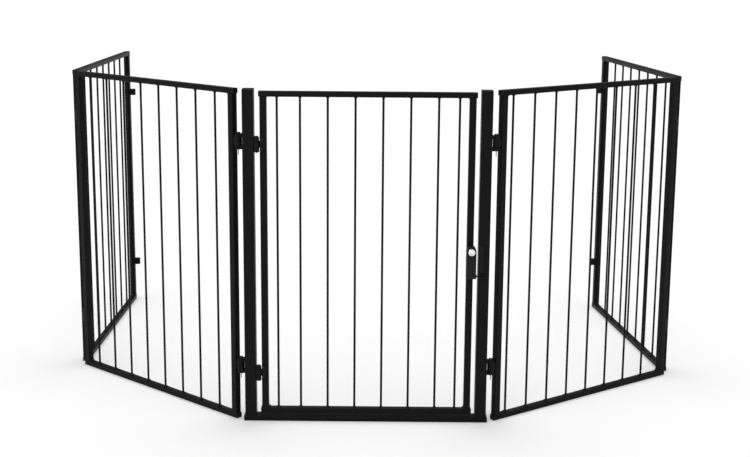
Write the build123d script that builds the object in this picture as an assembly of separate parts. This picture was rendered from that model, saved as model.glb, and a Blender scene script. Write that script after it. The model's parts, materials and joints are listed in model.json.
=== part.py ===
from build123d import *

import math
import os

# A five-panel steel fireplace screen with a walk-through gate in its middle panel.
# X runs to the right along the gate, Y runs back towards the fireplace, Z is up.
# Everything is in millimetres. Each piece is modelled in its own panel's frame, with the
# fold axis at x = 0 and the floor at z = 0, and is then turned to the angle it stands at.

# Overall sizes
HEIGHT = 750.0
PANEL_WIDTH = 540.0
FOLD_GAP = 19.0

# How the screen stands: each side panel's fold from the line of the gate, and each end
# panel's fold from the line of its side panel, in degrees
LEFT_SIDE_FOLD = 38.0
LEFT_END_FOLD = 53.0
RIGHT_SIDE_FOLD = 33.0
RIGHT_END_FOLD = 65.0

# Tubes
POST = 25.0
SILL_HEIGHT = 12.0
RAIL_HEIGHT = 12.0
TUBE = 15.0
WALL = 1.2
TUBE_ROUND = 1.6
RAIL_CAP = 2.5
SILL_CAP = 3.0
POST_CAP = 3.0
PLUG_LENGTH = 10.0
PLUG_SLACK = 0.1

# Bars
BAR_RADIUS = 2.5
BAR_COUNT = 8
BAR_PITCH = 61.5
WELD_RADIUS = 4.2
WELD_HEIGHT = 3.5
LEFT_SIDE_FIRST_BAR = 46.0
RIGHT_SIDE_FIRST_BAR = 20.0
END_FIRST_BAR = 61.0

# Gate door, inside the two posts
DOOR_GAP_LEFT = 12.4
DOOR_GAP_RIGHT = 10.4
DOOR_UNDER = 5.0
DOOR_DROP = 5.0
DOOR_BAR_GAPS = (22.0, 50.0, 60.0, 60.0, 60.0, 60.0, 60.0, 45.0)

# Fold hinges: two on each fold, a single knuckle between a pair of knuckles on one pin
HINGE_HEIGHTS = (127.0, 635.0)
KNUCKLE_RADIUS = 8.0
SINGLE_KNUCKLE = 17.4
PAIR_KNUCKLE = 8.0
KNUCKLE_PLAY = 0.3
WEB_THICKNESS = 12.0
CORNER_RISE = 7.5
LEFT_LUG_HEIGHTS = (119.0, 631.0)
RIGHT_LUG_HEIGHTS = (140.0, 652.0)
LUG_REACH = 16.0
LUG_RADIUS = 7.0
PIN_RADIUS = 2.5
PIN_PLAY = 0.05
PIN_HEAD_RADIUS = 5.0
PIN_HEAD = 3.0
PIN_END = 1.5
PIN_TAIL = 13.0
PIN_TAIL_RADIUS = 0.9

# Gate hinges: two, with their pins level with the front of the post
GATE_HINGE_HEIGHTS = (113.0, 630.0)
GATE_KNUCKLE_RADIUS = 6.0
GATE_SINGLE = 15.0
GATE_PAIR = 8.5
LEAF_THICKNESS = 3.0
LEAF_INSET = 1.1
LEAF_REACH = 12.0
LEAF_SCREW_RISE = 10.0

# Latch
LATCH_BOTTOM = 338.0
BUTTON_HEIGHT = 399.0
LATCH_WIDTH = 21.5
LATCH_LEFT_OVER = 1.5
LATCH_DEPTH = 22.0
LATCH_WALL = 1.8
BACK_PLATE = 1.5
BUTTON_RADIUS = 7.5
BUTTON_PROUD = 5.5
BUTTON_TRAVEL = 4.0
BOLT_TRAVEL = 4.0
BUTTON_PLAY = 0.15
FLANGE_RADIUS = 8.6
FLANGE = 1.5
FLANGE_PLAY = 0.1
BOLT_THICKNESS = 3.0
BOLT_STAND_OFF = 6.5
TONGUE_HEIGHT = 3.0
TONGUE_PLAY = 0.3
SCREW_HEIGHTS = (353.0, 377.0)
SCREW_INSET = 4.9
SCREW_RADIUS = 1.5
SCREW_PLAY = 0.05
SCREW_HEAD_RADIUS = 3.0
SCREW_HEAD = 1.8
KEEP_WIDTH = 11.0
KEEP_HEIGHT = 76.0
KEEP_BELOW = 4.0
KEEP_THICKNESS = 3.0
KEEP_EAR = 2.0
KEEP_EAR_REACH = 8.0
KEEP_SCREW_RISE = 30.0

# Worked out from the sizes above
HALF_GATE = PANEL_WIDTH / 2
FOLD_X = HALF_GATE + FOLD_GAP / 2
FOLD_TO_FOLD = PANEL_WIDTH + FOLD_GAP
POST_INNER = HALF_GATE - POST
DOOR_LEFT = -POST_INNER + DOOR_GAP_LEFT
DOOR_RIGHT = POST_INNER - DOOR_GAP_RIGHT
DOOR_BOTTOM = SILL_HEIGHT + DOOR_UNDER
DOOR_TOP = HEIGHT - DOOR_DROP
DOOR_AXIS_X = (DOOR_LEFT - POST_INNER) / 2
DOOR_AXIS_Y = -POST / 2
LATCH_LEFT = DOOR_RIGHT - TUBE - LATCH_LEFT_OVER
LATCH_X = LATCH_LEFT + LATCH_WIDTH / 2
LATCH_FRONT = -TUBE / 2 - LATCH_DEPTH
BOLT_BACK = -TUBE / 2 - BOLT_STAND_OFF - BACK_PLATE
SCREW_X = LATCH_LEFT + SCREW_INSET


# ---------------------------------------------------------------- small shapes

def box_between(x0, x1, y0, y1, z0, z1):
    """A plain block given by its six faces."""
    block = Box(x1 - x0, y1 - y0, z1 - z0, align=(Align.MIN, Align.MIN, Align.MIN))
    return Pos(x0, y0, z0) * block


def round_bar(radius, z0, z1, x=0.0, y=0.0):
    """An upright round bar or hole."""
    bar = Cylinder(radius, z1 - z0, align=(Align.CENTER, Align.CENTER, Align.MIN))
    return Pos(x, y, z0) * bar


def cross_bar(radius, y0, y1, x, z):
    """A round bar or hole along Y."""
    bar = Cylinder(radius, y1 - y0, align=(Align.CENTER, Align.CENTER, Align.MIN))
    return Pos(x, y0, z) * Rot(-90, 0, 0) * bar


def group(solids):
    """Several separate solids in one node."""
    return Compound(children=list(solids))


def tube_outline(width, depth):
    return RectangleRounded(width, depth, TUBE_ROUND)


def tube_bore(width, depth, slack=0.0):
    inset = 2 * (WALL + slack)
    return RectangleRounded(width - inset, depth - inset, TUBE_ROUND / 2)


def upright_tube(width, z0, z1, x, y=0.0):
    """A square tube standing up, with its middle at x, y."""
    section = tube_outline(width, width) - tube_bore(width, width)
    return Pos(x, y, z0) * extrude(section, z1 - z0)


def level_tube(depth, height, x0, x1, z0):
    """A flat tube lying along X, with its underside at z0."""
    section = tube_outline(depth, height) - tube_bore(depth, height)
    return Pos(x0, 0, z0 + height / 2) * extrude(Plane.YZ * section, x1 - x0)


def end_plug(width, depth, cap):
    """A plastic end cap: a rounded lid on z = 0 with a plug below it."""
    lid = extrude(tube_outline(width, depth), cap)
    lid = fillet(lid.faces().sort_by(Axis.Z)[-1].edges(), cap * 0.4)
    plug = extrude(tube_bore(width, depth, PLUG_SLACK), -PLUG_LENGTH)
    return lid + plug


def end_plug_right(depth, height, cap, x, z):
    """The same cap in the right-hand end of a level tube."""
    return Pos(x, 0, z) * Rot(0, 90, 0) * end_plug(height, depth, cap)


def end_plug_left(depth, height, cap, x, z):
    return Pos(x, 0, z) * Rot(0, -90, 0) * end_plug(height, depth, cap)


def bar(z0, z1, x):
    """One round bar with a small fillet of weld at each end."""
    with_welds = Polyline(
        (0, z0),
        (WELD_RADIUS, z0),
        (BAR_RADIUS, z0 + WELD_HEIGHT),
        (BAR_RADIUS, z1 - WELD_HEIGHT),
        (WELD_RADIUS, z1),
        (0, z1),
        close=True,
    )
    return Pos(x, 0, 0) * revolve(Plane.XZ * make_face(with_welds), Axis.Z)


def pan_screw_y(x, z, y_face, length, facing):
    """A pan-head screw along Y: its head stands on y_face and faces -Y or +Y."""
    head = Cylinder(SCREW_HEAD_RADIUS, SCREW_HEAD, align=(Align.CENTER, Align.CENTER, Align.MIN))
    head = fillet(head.faces().sort_by(Axis.Z)[-1].edges(), SCREW_HEAD * 0.6)
    slot = Box(SCREW_HEAD_RADIUS * 1.3, 0.7, 1.6)
    cross = slot + Rot(0, 0, 90) * slot
    shank = round_bar(SCREW_RADIUS, -length, 0)
    screw = head + shank - Pos(0, 0, SCREW_HEAD) * cross
    return Pos(x, y_face, z) * Rot(90 if facing < 0 else -90, 0, 0) * screw


# ---------------------------------------------------------------- a panel's frame

def frame_tubes(x0, x1, z0, z1):
    """Top rail, bottom rail, left stile and right stile of one welded frame."""
    top = level_tube(TUBE, RAIL_HEIGHT, x0, x1, z1 - RAIL_HEIGHT)
    bottom = level_tube(TUBE, RAIL_HEIGHT, x0, x1, z0)
    inside = (z0 + RAIL_HEIGHT, z1 - RAIL_HEIGHT)
    first = upright_tube(TUBE, *inside, x0 + TUBE / 2)
    last = upright_tube(TUBE, *inside, x1 - TUBE / 2)
    return top, bottom, first, last


def rail_caps(x0, x1, z0, z1):
    """The four end caps of one frame's two rails."""
    caps = []
    for z in (z0 + RAIL_HEIGHT / 2, z1 - RAIL_HEIGHT / 2):
        caps.append(end_plug_left(TUBE, RAIL_HEIGHT, RAIL_CAP, x0, z))
        caps.append(end_plug_right(TUBE, RAIL_HEIGHT, RAIL_CAP, x1, z))
    return group(caps)


def bars(places, z0, z1):
    return group(bar(z0 + RAIL_HEIGHT, z1 - RAIL_HEIGHT, x) for x in places)


def knuckle(z0, z1, toward, rise=0.0):
    """A bored knuckle whose axis stands rise from the panel's mid-plane, with its web.

    The web runs along the panel to the stile's edge at toward * FOLD_GAP / 2.
    """
    x0, x1 = sorted((0.0, toward * FOLD_GAP / 2))
    y0, y1 = sorted((0.0, rise)) if rise else (-WEB_THICKNESS / 2, WEB_THICKNESS / 2)
    solid = round_bar(KNUCKLE_RADIUS, z0, z1, 0, rise) + box_between(x0, x1, y0, y1, z0, z1)
    return solid - round_bar(PIN_RADIUS + PIN_PLAY, z0, z1, 0, rise)


def single_knuckles(x, toward, rise=0.0):
    """The middle knuckle of each hinge on one fold."""
    half = SINGLE_KNUCKLE / 2
    return group(Pos(x, 0, 0) * knuckle(z - half, z + half, toward, rise) for z in HINGE_HEIGHTS)


def pair_of_knuckles(x, z, toward, rise=0.0):
    low = SINGLE_KNUCKLE / 2 + KNUCKLE_PLAY
    high = low + PAIR_KNUCKLE
    return [
        Pos(x, 0, 0) * knuckle(z + low, z + high, toward, rise),
        Pos(x, 0, 0) * knuckle(z - high, z - low, toward, rise),
    ]


def lug_heights(inward):
    """Middles of the wall lugs; the right-hand pair sits higher than the left-hand one."""
    return LEFT_LUG_HEIGHTS if inward < 0 else RIGHT_LUG_HEIGHTS


def wall_lugs(x, inward):
    """Single knuckles that stand square off the inner face of the free stile."""
    half = SINGLE_KNUCKLE / 2
    y0, y1 = sorted((inward * TUBE / 2, inward * LUG_REACH))
    solids = []
    for z in lug_heights(inward):
        web = box_between(x - WEB_THICKNESS / 2, x + WEB_THICKNESS / 2, y0, y1, z - half, z + half)
        boss = round_bar(LUG_RADIUS, z - half, z + half, x, inward * LUG_REACH)
        bore = round_bar(PIN_RADIUS + PIN_PLAY, z - half, z + half, x, inward * LUG_REACH)
        solids.append(boss + web - bore)
    return group(solids)


def fold_pin(x, z):
    """A headed pin through one hinge, with a thin drawn tail below it."""
    reach = SINGLE_KNUCKLE / 2 + KNUCKLE_PLAY + PAIR_KNUCKLE
    end = z - reach - PIN_END
    shank = round_bar(PIN_RADIUS, end, z + reach)
    shank = chamfer(shank.faces().sort_by(Axis.Z)[0].edges(), 1.0)
    tail = round_bar(PIN_TAIL_RADIUS, z - reach - PIN_TAIL, end + 1.0)
    head = round_bar(PIN_HEAD_RADIUS, z + reach, z + reach + PIN_HEAD)
    head = fillet(head.faces().sort_by(Axis.Z)[-1].edges(), 1.0)
    return Pos(x, 0, 0) * (shank + tail + head)


def bar_places(x0, first_gap):
    """Bars at one pitch, the first one first_gap beyond the near stile."""
    return [x0 + TUBE + first_gap + BAR_PITCH * i for i in range(BAR_COUNT)]


def folding_panel(name, first_gap, near_single, inward):
    """One fixed-bar panel: near stile at its own fold, far stile at the next fold or free.

    inward is the side that the hearth is on, as the sign of the panel's own Y.
    """
    x0 = FOLD_GAP / 2
    x1 = x0 + PANEL_WIDTH
    top, bottom, near, far = frame_tubes(x0, x1, 0.0, HEIGHT)
    pieces = {
        "top_rail": top,
        "bottom_rail": bottom,
        "near_stile": near,
        "far_stile": far,
        "bars": bars(bar_places(x0, first_gap), 0.0, HEIGHT),
        "rail_caps": rail_caps(x0, x1, 0.0, HEIGHT),
    }
    if near_single:
        pieces["near_knuckles"] = single_knuckles(0, 1)
        pieces["far_knuckles"] = single_knuckles(FOLD_TO_FOLD, -1, inward * CORNER_RISE)
    else:
        rise = inward * CORNER_RISE
        pairs = [pair_of_knuckles(0, z, 1, rise) for z in HINGE_HEIGHTS]
        pieces["near_knuckles"] = group(pairs[0] + pairs[1])
        pieces["wall_lugs"] = wall_lugs(x1 - TUBE / 2, inward)
        pieces["corner_pins"] = group(Pos(0, rise, 0) * fold_pin(0, z) for z in HINGE_HEIGHTS)
    return {f"{name}_{piece}": shape for piece, shape in pieces.items()}


# ---------------------------------------------------------------- gate frame

def gate_frame():
    left = -HALF_GATE + POST / 2
    right = HALF_GATE - POST / 2
    post_top = HEIGHT - POST_CAP
    sill_middle = SILL_HEIGHT / 2
    knuckles = []
    pins = []
    for z in HINGE_HEIGHTS:
        knuckles += pair_of_knuckles(-FOLD_X, z, 1)
        knuckles += pair_of_knuckles(FOLD_X, z, -1)
        pins += [fold_pin(-FOLD_X, z), fold_pin(FOLD_X, z)]
    return {
        "gate_post_left": upright_tube(POST, SILL_HEIGHT, post_top, left),
        "gate_post_right": upright_tube(POST, SILL_HEIGHT, post_top, right) - keep_screw_holes(),
        "gate_sill": level_tube(POST, SILL_HEIGHT, -HALF_GATE, HALF_GATE, 0.0),
        "gate_post_caps": group(
            Pos(x, 0, post_top) * end_plug(POST, POST, POST_CAP) for x in (left, right)
        ),
        "gate_sill_caps": group([
            end_plug_left(POST, SILL_HEIGHT, SILL_CAP, -HALF_GATE, sill_middle),
            end_plug_right(POST, SILL_HEIGHT, SILL_CAP, HALF_GATE, sill_middle),
        ]),
        "gate_fold_knuckles": group(knuckles),
        "gate_fold_pins": group(pins),
        "gate_hinge_knuckles": gate_hinge_knuckles(),
        "latch_keep": latch_keep(),
        "latch_keep_screws": latch_keep_screws(),
    }


def gate_knuckle(z0, z1):
    """A bored knuckle of a gate hinge, without its web."""
    whole = round_bar(GATE_KNUCKLE_RADIUS, z0, z1, DOOR_AXIS_X, DOOR_AXIS_Y)
    return whole, round_bar(PIN_RADIUS + PIN_PLAY, z0, z1, DOOR_AXIS_X, DOOR_AXIS_Y)


def gate_hinge_knuckles():
    """The post's half of each gate hinge: a pair of knuckles welded inside the left post."""
    solids = []
    low = GATE_SINGLE / 2 + KNUCKLE_PLAY
    high = low + GATE_PAIR
    back = DOOR_AXIS_Y + GATE_KNUCKLE_RADIUS
    for z in GATE_HINGE_HEIGHTS:
        for z0, z1 in ((z - high, z - low), (z + low, z + high)):
            whole, bore = gate_knuckle(z0, z1)
            web = box_between(-POST_INNER, DOOR_AXIS_X, DOOR_AXIS_Y, back, z0, z1)
            solids.append(whole + web - bore)
    return group(solids)


def keep_places():
    """Middle of the keep in X and Z, and its two screws' heights."""
    x = POST_INNER + 1.0 + KEEP_WIDTH / 2
    z = LATCH_BOTTOM - KEEP_BELOW + KEEP_HEIGHT / 2
    return x, z, (z - KEEP_SCREW_RISE + 10.0, z + KEEP_SCREW_RISE)


def keep_screw_holes():
    x, _, heights = keep_places()
    holes = [
        cross_bar(SCREW_RADIUS + SCREW_PLAY, -POST / 2 - 1, -POST / 2 + WALL + 1, x, z)
        for z in heights
    ]
    return holes[0] + holes[1]


def latch_keep():
    """A plate on the right post with an open-fronted notch that the latch tongue drops into."""
    x, z, heights = keep_places()
    face = -POST / 2
    plate = box_between(
        x - KEEP_WIDTH / 2, x + KEEP_WIDTH / 2,
        face - KEEP_THICKNESS, face,
        z - KEEP_HEIGHT / 2, z + KEEP_HEIGHT / 2,
    )
    plate = fillet(plate.edges().filter_by(Axis.Y), 3.0)
    low, high = tongue_heights()
    ears = box_between(
        x - KEEP_WIDTH / 2, x + KEEP_WIDTH / 2,
        face - KEEP_EAR_REACH, face - KEEP_THICKNESS / 2,
        low - TONGUE_PLAY - KEEP_EAR, high + TONGUE_PLAY + KEEP_EAR,
    )
    notch = box_between(
        x - KEEP_WIDTH, x + KEEP_WIDTH,
        face - 2 * KEEP_EAR_REACH, BOLT_BACK + TONGUE_PLAY,
        low - TONGUE_PLAY, high + TONGUE_PLAY,
    )
    plate = plate + ears - notch
    for screw_z in heights:
        plate = plate - cross_bar(SCREW_RADIUS + SCREW_PLAY, face - 2 * KEEP_THICKNESS, face + 1, x, screw_z)
    return plate


def latch_keep_screws():
    x, _, heights = keep_places()
    face = -POST / 2 - KEEP_THICKNESS
    return group(pan_screw_y(x, z, face, KEEP_THICKNESS + 6.0, -1) for z in heights)


# ---------------------------------------------------------------- gate door

def gate_door():
    top, bottom, hinge_stile, latch_stile = frame_tubes(DOOR_LEFT, DOOR_RIGHT, DOOR_BOTTOM, DOOR_TOP)
    places = []
    x = DOOR_LEFT + TUBE
    for gap in DOOR_BAR_GAPS:
        x += gap
        places.append(x)
    return {
        "door_top_rail": top,
        "door_bottom_rail": bottom,
        "door_hinge_stile": hinge_stile - leaf_screw_holes(),
        "door_latch_stile": latch_stile - latch_screw_holes(),
        "door_bars": bars(places, DOOR_BOTTOM, DOOR_TOP),
        "door_rail_caps": rail_caps(DOOR_LEFT, DOOR_RIGHT, DOOR_BOTTOM, DOOR_TOP),
        "door_hinge_leaves": door_hinge_leaves(),
        "door_leaf_screws": door_leaf_screws(),
        "door_hinge_pins": door_hinge_pins(),
        "latch_housing": latch_housing(),
        "latch_back_plate": latch_back_plate(),
        "latch_screws": latch_screws(),
    }


def leaf_screw_places():
    x = DOOR_LEFT + 6.0
    return [(x, z + rise) for z in GATE_HINGE_HEIGHTS for rise in (-LEAF_SCREW_RISE, LEAF_SCREW_RISE)]


def door_hinge_leaves():
    """The door's half of each gate hinge: one knuckle with a leaf on the stile's front."""
    solids = []
    face = -TUBE / 2
    half = GATE_SINGLE / 2
    tall = half + KNUCKLE_PLAY + GATE_PAIR
    for z in GATE_HINGE_HEIGHTS:
        whole, bore = gate_knuckle(z - half, z + half)
        neck = box_between(
            DOOR_AXIS_X, DOOR_LEFT + LEAF_INSET + 1, face - LEAF_THICKNESS, face, z - half, z + half
        )
        leaf = box_between(
            DOOR_LEFT + LEAF_INSET, DOOR_LEFT + LEAF_REACH, face - LEAF_THICKNESS, face, z - tall, z + tall
        )
        leaf = fillet(leaf.edges().filter_by(Axis.Y), 2.0)
        solids.append(whole + neck + leaf - bore)
    for x, z in leaf_screw_places():
        hole = cross_bar(SCREW_RADIUS + SCREW_PLAY, face - 2 * LEAF_THICKNESS, face + 1, x, z)
        solids = [solid - hole if abs(solid.center().Z - z) < tall else solid for solid in solids]
    return group(solids)


def leaf_screw_holes():
    face = -TUBE / 2
    holes = [
        cross_bar(SCREW_RADIUS + SCREW_PLAY, face - 1, face + WALL + 1, x, z)
        for x, z in leaf_screw_places()
    ]
    return holes[0] + holes[1] + holes[2] + holes[3]


def door_leaf_screws():
    face = -TUBE / 2 - LEAF_THICKNESS
    return group(pan_screw_y(x, z, face, LEAF_THICKNESS + 6.0, -1) for x, z in leaf_screw_places())


def door_hinge_pins():
    solids = []
    for z in GATE_HINGE_HEIGHTS:
        reach = GATE_SINGLE / 2 + KNUCKLE_PLAY + GATE_PAIR
        shank = round_bar(PIN_RADIUS, z - reach - 2.0, z + reach + KNUCKLE_PLAY)
        shank = chamfer(shank.faces().sort_by(Axis.Z)[0].edges(), 0.8)
        head = round_bar(GATE_KNUCKLE_RADIUS - 1.5, z + reach + KNUCKLE_PLAY, z + reach + 2.5)
        head = fillet(head.faces().sort_by(Axis.Z)[-1].edges(), 0.8)
        solids.append(Pos(DOOR_AXIS_X, DOOR_AXIS_Y, 0) * (shank + head))
    return group(solids)


# ---------------------------------------------------------------- latch

def latch_outline(inset):
    """Front outline of the latch case: square below, a half circle round the button on top."""
    half = LATCH_WIDTH / 2 - inset
    low = LATCH_BOTTOM + inset
    straight = BUTTON_HEIGHT - low
    block = Pos(0, low + straight / 2) * Rectangle(2 * half, straight)
    head = Pos(0, BUTTON_HEIGHT) * Circle(half)
    return Plane.XZ * (block + head)


def latch_prism(inset, y0, y1):
    """The outline as a solid between two depths, y0 in front of y1."""
    return Pos(LATCH_X, y1, 0) * extrude(latch_outline(inset), y1 - y0)


def latch_housing():
    back = -TUBE / 2
    shell = latch_prism(0.0, LATCH_FRONT, back)
    front_edges = shell.faces().sort_by(Axis.Y)[0].edges()
    shell = fillet(front_edges, 1.5)
    shell = shell - latch_prism(LATCH_WALL, LATCH_FRONT + LATCH_WALL, back)
    hole = cross_bar(BUTTON_RADIUS + BUTTON_PLAY, LATCH_FRONT - 1, back, LATCH_X, BUTTON_HEIGHT)
    shell = shell - hole
    low, high = tongue_heights()
    mouth = box_between(
        LATCH_X, LATCH_LEFT + LATCH_WIDTH + 1,
        BOLT_BACK - BOLT_THICKNESS - TONGUE_PLAY, BOLT_BACK + TONGUE_PLAY,
        low - TONGUE_PLAY, high + TONGUE_PLAY,
    )
    shell = shell - mouth
    for z in SCREW_HEIGHTS:
        boss = cross_bar(2.4, LATCH_FRONT + 1.0, back - BACK_PLATE, SCREW_X, z)
        thread = cross_bar(SCREW_RADIUS + SCREW_PLAY, LATCH_FRONT + 6.0, back, SCREW_X, z)
        shell = shell + boss - thread
    return shell


def latch_back_plate():
    back = -TUBE / 2
    plate = latch_prism(LATCH_WALL + PLUG_SLACK, back - BACK_PLATE, back)
    for z in SCREW_HEIGHTS:
        plate = plate - cross_bar(SCREW_RADIUS + SCREW_PLAY, back - 3, back + 1, SCREW_X, z)
    return plate


def latch_screw_holes():
    holes = [
        cross_bar(SCREW_RADIUS + SCREW_PLAY, -TUBE, TUBE, SCREW_X, z) for z in SCREW_HEIGHTS
    ]
    return holes[0] + holes[1]


def latch_screws():
    face = TUBE / 2
    return group(pan_screw_y(SCREW_X, z, face, TUBE + BACK_PLATE + 10.0, 1) for z in SCREW_HEIGHTS)


def tongue_heights():
    """Underside and top of the tongue, just above the floor of the latch case."""
    low = LATCH_BOTTOM + LATCH_WALL + TONGUE_PLAY
    return low, low + TONGUE_HEIGHT


def cam_blade(half_width, y0, y1):
    """The slanted blade that turns the button's push into the bolt's pull, or its slot."""
    slope = BOLT_TRAVEL / BUTTON_TRAVEL
    start = LATCH_X - 5.2
    rest_front = LATCH_FRONT + LATCH_WALL + FLANGE_PLAY + FLANGE
    front_x = start + slope * (y0 - rest_front)
    back_x = start + slope * (y1 - rest_front)
    outline = Polyline(
        (front_x - half_width, y0),
        (front_x + half_width, y0),
        (back_x + half_width, y1),
        (back_x - half_width, y1),
        close=True,
    )
    return make_face(outline)


def latch_button():
    """The round push button, its collar behind the case wall, and its cam blade."""
    front = LATCH_FRONT - BUTTON_PROUD
    collar = LATCH_FRONT + LATCH_WALL + FLANGE_PLAY
    cap = cross_bar(BUTTON_RADIUS, front, collar, LATCH_X, BUTTON_HEIGHT)
    cap = fillet(cap.faces().sort_by(Axis.Y)[0].edges(), 1.2)
    flange = cross_bar(FLANGE_RADIUS, collar, collar + FLANGE, LATCH_X, BUTTON_HEIGHT)
    blade = Pos(0, 0, BUTTON_HEIGHT - 7.0) * extrude(
        cam_blade(1.8, collar + FLANGE, -TUBE / 2 - 8.1), 5.0
    )
    return cap + flange + blade


def latch_bolt():
    """The sliding bolt: a cam block behind the button, a flat stem, and the tongue."""
    low, high = tongue_heights()
    right = LATCH_X + 8.65
    left = right - 12.7
    front = BOLT_BACK - 6.0
    cam_low = BUTTON_HEIGHT - 10.5
    cam_high = BUTTON_HEIGHT + 1.5
    block = box_between(left, right, front, BOLT_BACK, cam_low, cam_high)
    slot = Pos(0, 0, BUTTON_HEIGHT - 7.25) * extrude(cam_blade(2.05, front - 1, BOLT_BACK + 1), 5.5)
    block = block - slot
    stem = box_between(right - 7.5, right - 1.5, BOLT_BACK - BOLT_THICKNESS, BOLT_BACK, low, cam_low)
    tongue = box_between(
        right - 7.5, POST_INNER + BOLT_TRAVEL, BOLT_BACK - BOLT_THICKNESS, BOLT_BACK, low, high
    )
    return block + stem + tongue


def latch_spring():
    """The button's return spring, between its collar and the back plate."""
    y0 = LATCH_FRONT + LATCH_WALL + FLANGE_PLAY + FLANGE
    y1 = -TUBE / 2 - BACK_PLATE
    wire = 0.35
    turns = 7
    coil = 2.0
    length = y1 - y0 - 2 * wire
    path = Helix(length / turns, length, coil)
    section = Plane(origin=path @ 0, z_dir=path % 0) * Circle(wire)
    spring = sweep(section, path=path)
    return Pos(LATCH_X, y0 + wire, BUTTON_HEIGHT + 4.9) * Rot(-90, 0, 0) * spring


# ---------------------------------------------------------------- standing it up

def place(pieces, x, y, heading, rise):
    """Turns a panel's pieces to their heading about the fold axis at x, y.

    rise is how far that axis stands from the panel's mid-plane, along the panel's own Y.
    """
    turn = Pos(x, y, 0) * Rot(0, 0, heading) * Pos(0, -rise, 0)
    return {name: turn * shape for name, shape in pieces.items()}


def fold_points():
    """Each folding panel's axis, heading and axis rise, with the gate's middle at 0, 0."""
    left = 180 - LEFT_SIDE_FOLD
    right = RIGHT_SIDE_FOLD
    points = {
        "left_side_panel": (-FOLD_X, 0.0, left, 0.0),
        "right_side_panel": (FOLD_X, 0.0, right, 0.0),
    }
    for side, inward, turn in (("left", -1, -LEFT_END_FOLD), ("right", 1, RIGHT_END_FOLD)):
        x, y, heading, _ = points[f"{side}_side_panel"]
        rise = inward * CORNER_RISE
        far_x, far_y = turned(FOLD_TO_FOLD, rise, heading)
        points[f"{side}_end_panel"] = (x + far_x, y + far_y, heading + turn, rise)
    return points


def turned(x, y, heading):
    """A point of a panel's own frame, turned to the panel's heading."""
    c = math.cos(math.radians(heading))
    s = math.sin(math.radians(heading))
    return c * x - s * y, s * x + c * y


def whole_screen():
    """Every piece, with the gate's middle at 0, 0."""
    pieces = {}
    pieces.update(gate_frame())
    pieces.update(gate_door())
    pieces["latch_button"] = latch_button()
    pieces["latch_bolt"] = latch_bolt()
    pieces["latch_spring"] = latch_spring()
    points = fold_points()
    first_bars = {"left_side": LEFT_SIDE_FIRST_BAR, "right_side": RIGHT_SIDE_FIRST_BAR}
    for side, inward in (("left", -1), ("right", 1)):
        near = folding_panel(f"{side}_side", first_bars[f"{side}_side"], True, inward)
        end = folding_panel(f"{side}_end", END_FIRST_BAR, False, inward)
        pieces.update(place(near, *points[f"{side}_side_panel"]))
        pieces.update(place(end, *points[f"{side}_end_panel"]))
    return pieces


def middle_of(pieces):
    """Middle of the whole screen in plan."""
    boxes = [shape.bounding_box() for shape in pieces.values()]
    x = (min(b.min.X for b in boxes) + max(b.max.X for b in boxes)) / 2
    y = (min(b.min.Y for b in boxes) + max(b.max.Y for b in boxes)) / 2
    return x, y


def main():
    os.makedirs("parts", exist_ok=True)
    pieces = whole_screen()
    x, y = middle_of(pieces)
    for name, shape in pieces.items():
        export_step(Pos(-x, -y, 0) * shape, f"parts/{name}.step")
    print("gate middle at", round(-x, 4), round(-y, 4))
    return x, y


ORIGIN = main()
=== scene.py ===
import json
import math

import bmesh
import bpy
from mathutils import Matrix, Vector


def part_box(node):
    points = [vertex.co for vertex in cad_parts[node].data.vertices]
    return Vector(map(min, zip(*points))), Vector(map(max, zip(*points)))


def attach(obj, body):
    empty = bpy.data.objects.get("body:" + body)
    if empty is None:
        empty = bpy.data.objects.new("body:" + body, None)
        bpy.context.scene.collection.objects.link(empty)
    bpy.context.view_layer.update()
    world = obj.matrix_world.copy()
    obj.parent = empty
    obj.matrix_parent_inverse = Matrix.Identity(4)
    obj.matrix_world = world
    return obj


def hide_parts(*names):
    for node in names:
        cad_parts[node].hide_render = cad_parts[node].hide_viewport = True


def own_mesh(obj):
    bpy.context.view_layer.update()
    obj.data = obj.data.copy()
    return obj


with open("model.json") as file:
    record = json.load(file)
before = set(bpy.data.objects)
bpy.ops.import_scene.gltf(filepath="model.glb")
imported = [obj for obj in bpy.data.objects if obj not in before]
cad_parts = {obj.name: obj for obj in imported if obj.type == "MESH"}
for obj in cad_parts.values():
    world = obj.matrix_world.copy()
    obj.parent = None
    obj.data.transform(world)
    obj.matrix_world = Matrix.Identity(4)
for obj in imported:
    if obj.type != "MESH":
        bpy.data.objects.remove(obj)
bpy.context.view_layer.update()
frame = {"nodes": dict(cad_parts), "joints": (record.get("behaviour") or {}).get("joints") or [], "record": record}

# A five-panel fireplace screen of welded, powder-coated steel with a latched gate in its
# middle panel. The imported nodes give every tube, bar, hinge and cap its shape. This file
# gives them their finishes and adds the fabricator's fillet welds, the ring round the latch's
# button and the lip round its tongue. A turned button and a coil spring take the place of
# the imported ones. Everything is in metres, and angles are in degrees.

# Sizes shared with the imported nodes; a corner's axis stands CORNER_RISE off mid-panel
TUBE = 0.015
RAIL_HEIGHT = 0.012
HEIGHT = 0.750
PANEL_WIDTH = 0.540
FOLD_GAP = 0.019
CORNER_RISE = 0.0075

# Push button; each step of its face is an inset's width and how far it rises
BUTTON_HEIGHT = 0.399
BUTTON_RADIUS = 0.0075
BUTTON_DEPTH = 0.0085
DISH_STEPS = ((0.0007, 0.0), (0.0005, 0.0), (0.0022, -0.0004), (0.0020, -0.0002))

# Ring round the button
BEZEL_RADIUS = 0.0101
BEZEL_DEPTH = 0.0022
BEZEL_PROUD = 0.0012
BEZEL_GAP = 0.0003

# Lip round the tongue's mouth; MOUTH_BACK runs from the front of the case to its middle
MOUTH_HEIGHT = 0.3416
MOUTH_DEPTH = 0.0036
MOUTH_BACK = 0.0125
LIP_WALL = 0.0018
LIP_PROUD = 0.0016
LIP_SUNK = 0.0004

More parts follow.
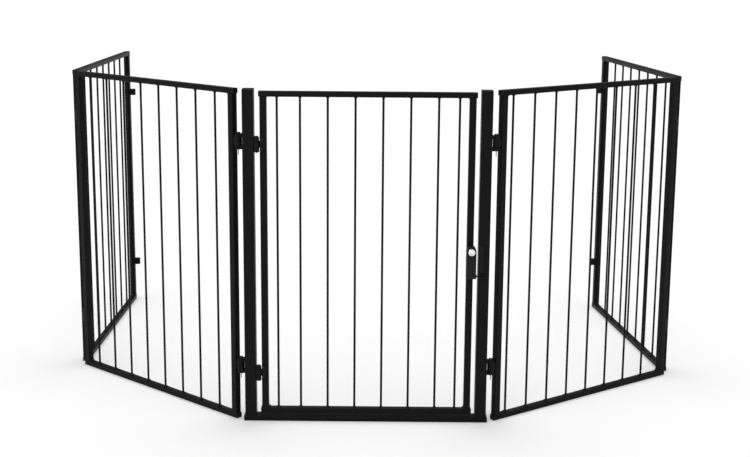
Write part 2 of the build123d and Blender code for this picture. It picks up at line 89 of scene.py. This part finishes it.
# Return spring
SPRING_WIRE = 0.00035
SPRING_COIL = 0.0020
SPRING_TURNS = 7
WIRE_SIDES = 8
STEPS_PER_TURN = 20

# Moulded and turned edges
EDGE_ROUND = 0.0006
LIP_ROUND = 0.0005

# Which way each folding panel points, in degrees, and which side of it faces the hearth
HEADINGS = {"left_side": 142.0, "left_end": 89.0, "right_side": 33.0, "right_end": 98.0}
INWARD = {"left": -1.0, "right": 1.0}

# Bars; the first stands this far from the stile's inner face
BAR_RADIUS = 0.0025
BAR_COUNT = 8
BAR_PITCH = 0.0615
FIRST_BAR = {"left_side": 0.046, "left_end": 0.061, "right_side": 0.020, "right_end": 0.061}
DOOR_BAR_GAPS = (0.022, 0.050, 0.060, 0.060, 0.060, 0.060, 0.060, 0.045)

# Fillet welds: how far each runs up the one piece and out along the other
CORNER_LEG = 0.0054
CORNER_LENGTH = TUBE - 0.0012
ROD_WELD = 0.0043
ROD_WELD_HEIGHT = ROD_WELD * 1.1
# Share of the leg that the hollow face takes, and the bevel profile that makes it hollow
CORNER_HOLLOW = 0.93
ROD_HOLLOW = 0.96
HOLLOW_PROFILE = 0.1
# Ripples, and the size of a weld between two of their crests
WELD_RIPPLES = 7
RIPPLE_DIP = 0.88
# Size of the welds at the top once ground back, against those at the foot
GROUND_BACK = 0.45
ROD_GROUND_BACK = 0.68

# Camera: its place from the gate's middle, and its turns
LENS_MM = 54.7
SENSOR_MM = 36.0
SHIFT_Y = -0.107
CAMERA_RIGHT = 0.0233
CAMERA_BACK = 2.4335
CAMERA_UP = 1.0394
CAMERA_YAW = 0.153
CAMERA_PITCH = 9.74
CAMERA_ROLL = 0.43

# Light; each softbox has its name, place, aim, width and height, and watts
FLOOR_SIZE = 60.0
ROOM_LIGHT = 0.26
SILK_LIGHT = 2.6
SILK_ANGLE = 100.0
SOFTBOXES = (
    ("front_softbox", (-1.6, -3.0, 2.2), (0.0, -0.3, 0.4), (0.9, 1.4), 60.0),
    ("back_softbox", (1.5, 1.9, 3.2), (0.0, 0.1, 0.4), (1.4, 1.4), 8.0),
)

# Colour sockets of a Mix node, whose other kinds use the same names
MIX_FIRST = 6
MIX_SECOND = 7
MIX_RESULT = 2


# ---------------------------------------------------------------- places

def middle(node):
    """Middle of a node's box."""
    low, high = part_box(node)
    return (Vector(low) + Vector(high)) / 2


def gate_middle():
    """Point on the floor under the middle of the gate, half way through its sill."""
    place = middle("gate_sill")
    return Vector((place.x, place.y, 0.0))


def joint_place(name):
    """A point on a joint's axis."""
    for joint in frame["joints"]:
        if joint["name"] == name:
            return Vector(joint["pos_m"])


def panel_turns():
    """For each folding panel, the matrix from its own frame to its place.

    In a panel's own frame X runs along its rails from the fold axis, and Y = 0 is the middle of
    its thickness. An end panel's axis stands off that middle, flush with the inner face.
    """
    turns = {}
    for panel, heading in HEADINGS.items():
        side, kind = panel.split("_")
        axis = joint_place(f"{panel}_fold")
        rise = INWARD[side] * CORNER_RISE if kind == "end" else 0.0
        turn = Matrix.Rotation(math.radians(heading), 4, "Z")
        turns[panel] = Matrix.Translation((axis.x, axis.y, 0.0)) @ turn @ Matrix.Translation((0, -rise, 0))
    return turns


# ---------------------------------------------------------------- mesh helpers

def deselect():
    if bpy.context.object and bpy.context.object.mode != "OBJECT":
        bpy.ops.object.mode_set(mode="OBJECT")
    bpy.ops.object.select_all(action="DESELECT")


def activate(piece):
    deselect()
    piece.select_set(True)
    bpy.context.view_layer.objects.active = piece


def named(name):
    """Names the object just made, and its mesh."""
    piece = bpy.context.object
    piece.name = name
    piece.data.name = name
    return piece


def settle(piece):
    """Puts the place and turn of a finished piece into its mesh."""
    activate(piece)
    bpy.ops.object.transform_apply(location=True, rotation=True, scale=True)


def edit(piece, kind="FACE"):
    """Opens a piece in edit mode with nothing selected."""
    activate(piece)
    bpy.ops.object.mode_set(mode="EDIT")
    bpy.ops.mesh.select_mode(type=kind)
    bpy.ops.mesh.select_all(action="DESELECT")


def pick(piece, kind, wanted):
    """In edit mode, selects the "faces", "edges" or "verts" for which wanted(it) is true."""
    mesh = bmesh.from_edit_mesh(piece.data)
    for element in getattr(mesh, kind):
        element.select_set(bool(wanted(element)))
    mesh.select_flush_mode()
    bmesh.update_edit_mesh(piece.data)


def done():
    bpy.ops.object.mode_set(mode="OBJECT")


def apply_modifier(piece, kind, **settings):
    activate(piece)
    modifier = piece.modifiers.new(kind.title(), kind)
    for key, value in settings.items():
        setattr(modifier, key, value)
    bpy.ops.object.modifier_apply(modifier=modifier.name)


def smooth(piece, angle):
    """Shades smooth across every edge that turns less than an angle."""
    activate(piece)
    bpy.ops.object.shade_smooth_by_angle(angle=math.radians(angle))


def round_edges(piece, width, segments):
    """Rounds the sharp edges of a turned or moulded piece."""
    apply_modifier(piece, "BEVEL", width=width, segments=segments, limit_method="ANGLE",
                   angle_limit=math.radians(50))
    smooth(piece, 40.0)


def copy_of(piece, matrix):
    """A copy with its own mesh, moved by a matrix."""
    twin = piece.copy()
    twin.data = piece.data.copy()
    bpy.context.collection.objects.link(twin)
    twin.data.transform(matrix)
    return twin


def join(pieces, name):
    deselect()
    for piece in pieces:
        piece.select_set(True)
    bpy.context.view_layer.objects.active = pieces[0]
    bpy.ops.object.join()
    return named(name)


# ---------------------------------------------------------------- material helpers

def linear(code):
    """An sRGB hex colour as linear RGBA."""
    parts = [int(code[i:i + 2], 16) / 255 for i in (1, 3, 5)]
    return [v / 12.92 if v <= 0.04045 else ((v + 0.055) / 1.055) ** 2.4 for v in parts] + [1.0]


def add(tree, kind, inputs=None, **settings):
    """Adds a node with its settings; each input is a value or another node's output socket."""
    made = tree.nodes.new(kind)
    for key, value in settings.items():
        setattr(made, key, value)
    for key, value in (inputs or {}).items():
        if isinstance(value, bpy.types.NodeSocket):
            tree.links.new(value, made.inputs[key])
        else:
            made.inputs[key].default_value = value
    return made


def blank(name):
    """A new material with an empty node tree, and the object's own coordinates in it."""
    material = bpy.data.materials.new(name)
    material.use_nodes = True
    tree = material.node_tree
    tree.nodes.clear()
    coords = add(tree, "ShaderNodeTexCoord").outputs["Object"]
    return material, tree, coords


def finish_tree(tree, inputs):
    """Ends a tree with one principled surface."""
    surface = add(tree, "ShaderNodeBsdfPrincipled", inputs)
    add(tree, "ShaderNodeOutputMaterial", {"Surface": surface.outputs["BSDF"]})


def noise(tree, coords, size, detail):
    """Noise whose lumps are about size metres across."""
    inputs = {"Vector": coords, "Scale": 1.0 / size, "Detail": detail, "Roughness": 0.5}
    return add(tree, "ShaderNodeTexNoise", inputs).outputs["Fac"]


def spread(tree, value, low, high, from_low=0.3, from_high=0.7):
    """Turns a noise value into a smooth run from low to high."""
    inputs = {"Value": value, "From Min": from_low, "From Max": from_high, "To Min": low, "To Max": high}
    return add(tree, "ShaderNodeMapRange", inputs, clamp=True).outputs["Result"]


def two_colours(tree, factor, first, second):
    """Runs from the first colour to the second; either may be another node's output."""
    inputs = {"Factor": factor, MIX_FIRST: first, MIX_SECOND: second}
    return add(tree, "ShaderNodeMix", inputs, data_type="RGBA").outputs[MIX_RESULT]


def bump(tree, height, depth, strength, under=None):
    """Bump whose height of 0 to 1 stands for depth metres."""
    inputs = {"Height": height, "Distance": depth, "Strength": strength}
    if under is not None:
        inputs["Normal"] = under
    return add(tree, "ShaderNodeBump", inputs).outputs["Normal"]


# ---------------------------------------------------------------- materials

def satin_black_powder_coat():
    """Satin black polyester powder coat on welded steel.

    Baked powder flows into a soft orange peel, about 1.5 mm from crest to crest, which
    breaks up the highlights along the tubes. The film is a shade lighter and duller in
    places, and whatever faces up is painted a speckled lighter grey, for light from above and fine dust.
    """
    material, tree, coords = blank("satin_black_powder_coat")
    # the 1.5 mm peel shows close up, and a second set of 6 mm waves from further away
    peel = bump(tree, noise(tree, coords, 0.0015, 2.0), 0.00016, 0.7)
    waves = bump(tree, noise(tree, coords, 0.006, 2.0), 0.0004, 0.6, peel)
    film = spread(tree, noise(tree, coords, 0.045, 4.0), 0.0, 1.0)
    colour = two_colours(tree, film, linear("#080808"), linear("#0c0c0d"))
    # faces that point up are mixed toward a lighter grey: painted light from above, speckled like fine dust
    up = add(tree, "ShaderNodeSeparateXYZ", {"Vector": add(tree, "ShaderNodeNewGeometry").outputs["Normal"]})
    facing_up = spread(tree, up.outputs["Z"], 0.0, 0.5, 0.6, 1.0)
    speckle = spread(tree, noise(tree, coords, 0.0035, 5.0), 0.4, 1.0)
    top_light_and_dust = add(tree, "ShaderNodeMath", {0: facing_up, 1: speckle}, operation="MULTIPLY").outputs[0]
    rough = spread(tree, noise(tree, coords, 0.03, 4.0), 0.38, 0.48)
    finish_tree(tree, {
        "Base Color": two_colours(tree, top_light_and_dust, colour, linear("#131312")),
        "Roughness": rough,
        "IOR": 1.5,
        "Specular IOR Level": 0.1,
        "Normal": waves,
    })
    return material


def black_moulded_nylon():
    """Black injection-moulded nylon, for the end caps.

    It is duller than the coat, with the fine even grain of a spark-eroded mould.
    """
    material, tree, coords = blank("black_moulded_nylon")
    # spark grain is about 0.1 mm; it is drawn at 0.8 mm so that it shows at all
    grain = bump(tree, noise(tree, coords, 0.0008, 2.0), 0.00003, 0.5)
    tone = spread(tree, noise(tree, coords, 0.012, 3.0), 0.0, 1.0)
    colour = two_colours(tree, tone, linear("#0a0a0a"), linear("#0e0e0e"))
    rough = spread(tree, noise(tree, coords, 0.004, 3.0), 0.5, 0.62)
    finish_tree(tree, {
        "Base Color": colour,
        "Roughness": rough,
        "IOR": 1.53,
        "Specular IOR Level": 0.15,
        "Normal": grain,
    })
    return material


def black_textured_abs():
    """Black ABS moulding, for the latch case.

    A leather-like mould texture of cells about 1.2 mm across breaks up its soft shine.
    """
    material, tree, coords = blank("black_textured_abs")
    cells = add(tree, "ShaderNodeTexVoronoi", {"Vector": coords, "Scale": 1.0 / 0.0012}).outputs["Distance"]
    texture = bump(tree, cells, 0.00005, 0.45)
    tone = spread(tree, noise(tree, coords, 0.01, 3.0), 0.0, 1.0)
    colour = two_colours(tree, tone, linear("#0b0b0b"), linear("#101010"))
    rough = spread(tree, noise(tree, coords, 0.003, 3.0), 0.46, 0.58)
    finish_tree(tree, {
        "Base Color": colour,
        "Roughness": rough,
        "IOR": 1.54,
        "Specular IOR Level": 0.18,
        "Normal": texture,
    })
    return material


def satin_chrome_plate():
    """Satin chrome plate, for the push button.

    Bright, nearly white metal with a faint turned grain and a few hairline marks from use.
    """
    material, tree, coords = blank("satin_chrome_plate")
    centre = middle("latch_button")
    at_button = add(tree, "ShaderNodeMapping", {"Vector": coords})
    at_button.inputs["Location"].default_value = (-centre.x, -centre.y, -BUTTON_HEIGHT)
    # turned grain runs in rings half a millimetre apart round the button's middle
    rings = add(tree, "ShaderNodeTexWave", {
        "Vector": at_button.outputs["Vector"], "Scale": 1.0 / 0.0016, "Distortion": 0.4,
    }, wave_type="RINGS", rings_direction="Y").outputs["Fac"]
    grain = bump(tree, rings, 0.000004, 0.35)
    marks = noise(tree, coords, 0.0015, 4.0)
    finish_tree(tree, {
        "Base Color": two_colours(tree, spread(tree, marks, 0.0, 1.0), linear("#f4f4f2"), linear("#e2e2e0")),
        "Metallic": 1.0,
        "Roughness": spread(tree, marks, 0.2, 0.32),
        "Normal": grain,
    })
    return material


def black_passivated_zinc():
    """Black-passivated zinc plate on pressed steel, for the bolt.

    The dip turns the bright plate to a near-black metal with a faint crystal spangle.
    """
    material, tree, coords = blank("black_passivated_zinc")
    spangle = add(tree, "ShaderNodeTexVoronoi", {"Vector": coords, "Scale": 1.0 / 0.0022}).outputs["Color"]
    grey = add(tree, "ShaderNodeRGBToBW", {"Color": spangle}).outputs["Val"]
    finish_tree(tree, {
        "Base Color": two_colours(tree, grey, linear("#161617"), linear("#262628")),
        "Metallic": 0.9,
        "Roughness": spread(tree, noise(tree, coords, 0.004, 4.0), 0.3, 0.45),
        "Normal": bump(tree, noise(tree, coords, 0.0008, 3.0), 0.00001, 0.4),
    })
    return material


def black_oxide_steel():
    """Black-oxided steel, for pins and screws: darker and glossier than the coat, oiled."""
    material, tree, coords = blank("black_oxide_steel")
    tone = spread(tree, noise(tree, coords, 0.002, 4.0), 0.0, 1.0)
    finish_tree(tree, {
        "Base Color": two_colours(tree, tone, linear("#101011"), linear("#1c1c1d")),
        "Metallic": 0.6,
        "Roughness": spread(tree, noise(tree, coords, 0.0015, 3.0), 0.28, 0.42),
        "Normal": bump(tree, noise(tree, coords, 0.001, 3.0), 0.00001, 0.5),
    })
    return material


def music_wire():
    """Bare drawn wire, for the spring: a bright grey metal, a little streaked."""
    material, tree, coords = blank("music_wire")
    finish_tree(tree, {
        "Base Color": linear("#9c9c9a"),
        "Metallic": 1.0,
        "Roughness": spread(tree, noise(tree, coords, 0.001, 3.0), 0.2, 0.35),
    })
    return material


def pale_floor():
    """Matt white studio board, so pale and even that it reads as plain white."""
    material, tree, coords = blank("pale_studio_board")
    finish_tree(tree, {
        "Base Color": two_colours(tree, noise(tree, coords, 0.4, 2.0), linear("#fafafa"), linear("#fcfcfc")),
        "Roughness": 0.85,
        "Specular IOR Level": 0.1,
    })
    return material


def assign(piece, material):
    piece.data.materials.clear()
    piece.data.materials.append(material)


def dress_nodes(finishes):
    """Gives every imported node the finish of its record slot."""
    slots = {row["node"]: row["material_slot"] for row in frame["record"]["subparts"]}
    for node, piece in frame["nodes"].items():
        assign(piece, finishes[slots[node]])


# ---------------------------------------------------------------- welds

def corner_weld():
    """A concave fillet weld with its corner on the Y axis and its legs along +X and +Z.

    The ripples along it are the edges of its cooled pools.
    """
    deselect()
    bpy.ops.mesh.primitive_cube_add(size=1.0, location=(CORNER_LEG / 2, 0, CORNER_LEG / 2))
    weld = named("corner_weld_pattern")
    weld.scale = (CORNER_LEG, CORNER_LENGTH, CORNER_LEG)
    settle(weld)
    edit(weld)
    pick(weld, "faces", lambda face: abs(face.normal.y) < 0.5)
    bpy.ops.mesh.subdivide_edgering(number_cuts=2 * WELD_RIPPLES, interpolation="LINEAR")
    done()
    edit(weld, "EDGE")
    outer = CORNER_LEG * 0.9
    pick(weld, "edges", lambda edge: all(min(vert.co.x, vert.co.z) > outer for vert in edge.verts))
    bpy.ops.mesh.bevel(offset=CORNER_LEG * CORNER_HOLLOW, segments=5, profile=HOLLOW_PROFILE, affect="EDGES")
    done()
    edit(weld, "VERT")
    step = CORNER_LENGTH / (2 * WELD_RIPPLES + 1)
    pick(weld, "verts", lambda vert: round((vert.co.y + CORNER_LENGTH / 2) / step) % 2 == 1)
    bpy.ops.transform.resize(value=(RIPPLE_DIP, 1.0, RIPPLE_DIP), center_override=(0, 0, 0))
    done()
    smooth(weld, 50.0)
    return weld


def rod_weld():
    """A concave fillet weld round the foot of a bar that stands on the floor at the origin."""
    deselect()
    bpy.ops.mesh.primitive_cylinder_add(vertices=16, radius=BAR_RADIUS + ROD_WELD, depth=ROD_WELD_HEIGHT,
                                        end_fill_type="NGON", location=(0, 0, ROD_WELD_HEIGHT / 2))
    weld = named("rod_weld_pattern")
    settle(weld)
    edit(weld, "EDGE")
    pick(weld, "edges", lambda edge: all(vert.co.z > ROD_WELD for vert in edge.verts))
    bpy.ops.mesh.bevel(offset=ROD_WELD * ROD_HOLLOW, segments=4, profile=HOLLOW_PROFILE, affect="EDGES")
    done()
    smooth(weld, 50.0)
    return weld


def corner_turns(x0, x1, z0, z1):
    """Moves of the corner weld into a frame's inside corners; those at the top are ground back."""
    ground = Matrix.Diagonal((GROUND_BACK, 1.0, GROUND_BACK, 1.0))
    moves = []
    for x, z, turn in ((x0, z0, 0), (x1, z0, -90), (x1, z1, 180), (x0, z1, 90)):
        move = Matrix.Translation((x, 0, z)) @ Matrix.Rotation(math.radians(turn), 4, "Y")
        moves.append(move @ ground if z == z1 else move)
    return moves


def rod_turns(places, z0, z1):
    """Moves of the rod weld to the bottom and, ground back, to the top of each bar."""
    ground = Matrix.Diagonal((ROD_GROUND_BACK, ROD_GROUND_BACK, GROUND_BACK, 1.0))
    moves = []
    for x in places:
        moves.append(Matrix.Translation((x, 0, z0)))
        moves.append(Matrix.Translation((x, 0, z1)) @ Matrix.Rotation(math.pi, 4, "X") @ ground)
    return moves


def frame_welds(name, body, turn, inside, bar_places, patterns, finish):
    """All the fillet welds of one frame as two pieces; inside is (x0, x1, z0, z1) of its hole."""
    corner, rod = patterns
    rows = {
        f"{name}_corner_welds": (corner, corner_turns(*inside)),
        f"{name}_bar_welds": (rod, rod_turns(bar_places, inside[2], inside[3])),
    }
    for title, (pattern, moves) in rows.items():
        piece = join([copy_of(pattern, turn @ move) for move in moves], title)
        assign(piece, finish)
        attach(piece, body)


def all_welds(finish):
    """The welds of the four folding panels and of the door."""
    patterns = (corner_weld(), rod_weld())
    for panel, turn in panel_turns().items():
        near = FOLD_GAP / 2 + TUBE
        far = FOLD_GAP / 2 + PANEL_WIDTH - TUBE
        places = [near + FIRST_BAR[panel] + BAR_PITCH * i for i in range(BAR_COUNT)]
        inside = (near, far, RAIL_HEIGHT, HEIGHT - RAIL_HEIGHT)
        frame_welds(panel, f"{panel}_panel", turn, inside, places, patterns, finish)
    low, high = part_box("door_top_rail")
    near = low[0] + TUBE
    places = [near + sum(DOOR_BAR_GAPS[:i + 1]) for i in range(len(DOOR_BAR_GAPS))]
    inside = (near, high[0] - TUBE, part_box("door_bottom_rail")[1][2], low[2])
    turn = Matrix.Translation((0.0, gate_middle().y, 0.0))
    frame_welds("door", "gate_door", turn, inside, places, patterns, finish)
    for pattern in patterns:
        bpy.data.objects.remove(pattern)


# ---------------------------------------------------------------- latch

def latch_front():
    """Depth of the front of the latch case."""
    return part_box("latch_housing")[0][1]


def disc(name, radius, front, depth):
    """A disc round the button's axis, from its front face back."""
    deselect()
    place = (middle("latch_housing").x, front + depth / 2, BUTTON_HEIGHT)
    bpy.ops.mesh.primitive_cylinder_add(vertices=64, radius=radius, depth=depth, end_fill_type="NGON",
                                        location=place, rotation=(math.pi / 2, 0, 0))
    piece = named(name)
    settle(piece)
    edit(piece)
    return piece


def on_the_door(piece, finish):
    assign(piece, finish)
    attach(piece, "gate_door")


def push_button(finish):
    """The round push button: a turned cap with a chamfered rim and a shallow dish."""
    button = disc("push_button_cap", BUTTON_RADIUS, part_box("latch_button")[0][1], BUTTON_DEPTH)
    pick(button, "faces", lambda face: face.normal.y < -0.9)
    for width, rise in DISH_STEPS:
        bpy.ops.mesh.inset(thickness=width, depth=rise)
    done()
    round_edges(button, EDGE_ROUND, 3)
    assign(button, finish)
    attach(button, "latch_button")
    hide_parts("latch_button")


def button_bezel(finish):
    """The raised moulded ring that guards the button."""
    bezel = disc("latch_button_bezel", BEZEL_RADIUS, latch_front() - BEZEL_PROUD, BEZEL_DEPTH)
    pick(bezel, "faces", lambda face: abs(face.normal.y) > 0.9)
    bpy.ops.mesh.inset(thickness=BEZEL_RADIUS - BUTTON_RADIUS - BEZEL_GAP, depth=0.0)
    bpy.ops.mesh.bridge_edge_loops()
    done()
    round_edges(bezel, EDGE_ROUND, 3)
    on_the_door(bezel, finish)


def bolt_mouth_lip(finish):
    """The moulded lip round the mouth that the tongue slides through, at the foot of the case."""
    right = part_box("latch_housing")[1][0]
    wide = MOUTH_DEPTH + 2 * LIP_WALL
    thick = LIP_PROUD + LIP_SUNK
    deselect()
    place = (right + LIP_PROUD - thick / 2, latch_front() + MOUTH_BACK, MOUTH_HEIGHT)
    bpy.ops.mesh.primitive_cube_add(size=1.0, location=place)
    lip = named("latch_mouth_lip")
    lip.scale = (thick, wide, wide)
    settle(lip)
    edit(lip)
    pick(lip, "faces", lambda face: abs(face.normal.x) > 0.9)
    bpy.ops.mesh.inset(thickness=LIP_WALL, depth=0.0)
    bpy.ops.mesh.bridge_edge_loops()
    done()
    round_edges(lip, LIP_ROUND, 2)
    on_the_door(lip, finish)


def return_spring(finish):
    """The coil spring behind the button's collar."""
    low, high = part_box("latch_spring")
    spot = middle("latch_spring")
    length = high[1] - low[1]
    deselect()
    bpy.ops.mesh.primitive_circle_add(vertices=WIRE_SIDES, radius=SPRING_WIRE,
                                      location=(SPRING_COIL, 0, SPRING_WIRE), rotation=(math.pi / 2, 0, 0))
    spring = named("latch_return_spring")
    settle(spring)
    pitch = (length - 2 * SPRING_WIRE) / SPRING_TURNS
    apply_modifier(spring, "SCREW", angle=2 * math.pi, screw_offset=pitch, iterations=SPRING_TURNS,
                   steps=STEPS_PER_TURN, render_steps=STEPS_PER_TURN, use_merge_vertices=True)
    edit(spring, "VERT")
    bpy.ops.mesh.select_all(action="SELECT")
    bpy.ops.mesh.fill_holes(sides=WIRE_SIDES)
    bpy.ops.mesh.normals_make_consistent(inside=False)
    done()
    spring.location = (spot.x, low[1], spot.z)
    spring.rotation_euler = (-math.pi / 2, 0, 0)
    settle(spring)
    smooth(spring, 60.0)
    assign(spring, finish)
    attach(spring, "gate_door")
    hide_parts("latch_spring")
    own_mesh(spring)


# ---------------------------------------------------------------- stage

def camera():
    made = bpy.data.cameras.new("camera")
    made.lens = LENS_MM
    made.sensor_width = SENSOR_MM
    made.sensor_fit = "HORIZONTAL"
    made.shift_y = SHIFT_Y
    made.clip_start = 0.05
    made.clip_end = 100.0
    eye = bpy.data.objects.new("camera", made)
    bpy.context.collection.objects.link(eye)
    gate = gate_middle()
    move = Matrix.Translation((gate.x + CAMERA_RIGHT, gate.y - CAMERA_BACK, CAMERA_UP))
    turn = Matrix.Rotation(math.radians(CAMERA_YAW), 4, "Z")
    tilt = Matrix.Rotation(math.radians(90.0 - CAMERA_PITCH), 4, "X")
    roll = Matrix.Rotation(math.radians(CAMERA_ROLL), 4, "Z")
    eye.matrix_world = move @ turn @ tilt @ roll
    bpy.context.scene.camera = eye


def softbox(name, place, target, size, power):
    made = bpy.data.lights.new(name, "AREA")
    made.shape = "RECTANGLE"
    made.size, made.size_y = size
    made.energy = power
    light = bpy.data.objects.new(name, made)
    bpy.context.collection.objects.link(light)
    light.location = place
    aim = Vector(target) - Vector(place)
    light.rotation_euler = aim.to_track_quat("-Z", "Y").to_euler()
    return light


def studio():
    deselect()
    bpy.ops.mesh.primitive_plane_add(size=FLOOR_SIZE, location=(0, 0, 0))
    floor = named("studio_floor")
    assign(floor, pale_floor())
    plain_backdrop()
    overhead_silk()
    flag_off([softbox(*row) for row in SOFTBOXES], floor)
    bpy.context.scene.view_settings.view_transform = "Standard"


def flag_off(lights, floor):
    """Keeps the softboxes off the floor, as flags on stands do, so it stays evenly white."""
    flagged = bpy.data.collections.new("flagged_off")
    flagged.objects.link(floor)
    flagged.collection_objects[0].light_linking.link_state = "EXCLUDE"
    for light in lights:
        light.light_linking.receiver_collection = flagged


def plain_backdrop():
    """A surround that the camera sees as white, and that is dimmer as a light on the object."""
    world = bpy.data.worlds.new("studio")
    bpy.context.scene.world = world
    world.use_nodes = True
    tree = world.node_tree
    tree.nodes.clear()
    seen = add(tree, "ShaderNodeLightPath").outputs["Is Camera Ray"]
    strength = spread(tree, seen, ROOM_LIGHT, 1.0, 0.0, 1.0)
    sky = add(tree, "ShaderNodeBackground", {"Color": (1.0, 1.0, 1.0, 1.0), "Strength": strength})
    add(tree, "ShaderNodeOutputWorld", {"Surface": sky.outputs["Background"]})


def overhead_silk():
    """A wide, even light from above, as through a silk stretched over the whole set."""
    made = bpy.data.lights.new("overhead_silk", "SUN")
    made.energy = SILK_LIGHT
    made.angle = math.radians(SILK_ANGLE)
    bpy.context.collection.objects.link(bpy.data.objects.new("overhead_silk", made))


# ---------------------------------------------------------------- the screen

def main():
    camera()
    coat = satin_black_powder_coat()
    nylon = black_moulded_nylon()
    moulding = black_textured_abs()
    chrome = satin_chrome_plate()
    zinc = black_passivated_zinc()
    oxide = black_oxide_steel()
    wire = music_wire()
    dress_nodes({
        "black_powder_coat": coat,
        "black_plastic": nylon,
        "zinc_plated_steel": zinc,
        "black_pin_steel": oxide,
        "button_chrome": chrome,
        "spring_steel": wire,
    })
    assign(frame["nodes"]["latch_housing"], moulding)
    all_welds(coat)
    push_button(chrome)
    button_bezel(moulding)
    bolt_mouth_lip(moulding)
    return_spring(wire)
    studio()


main()
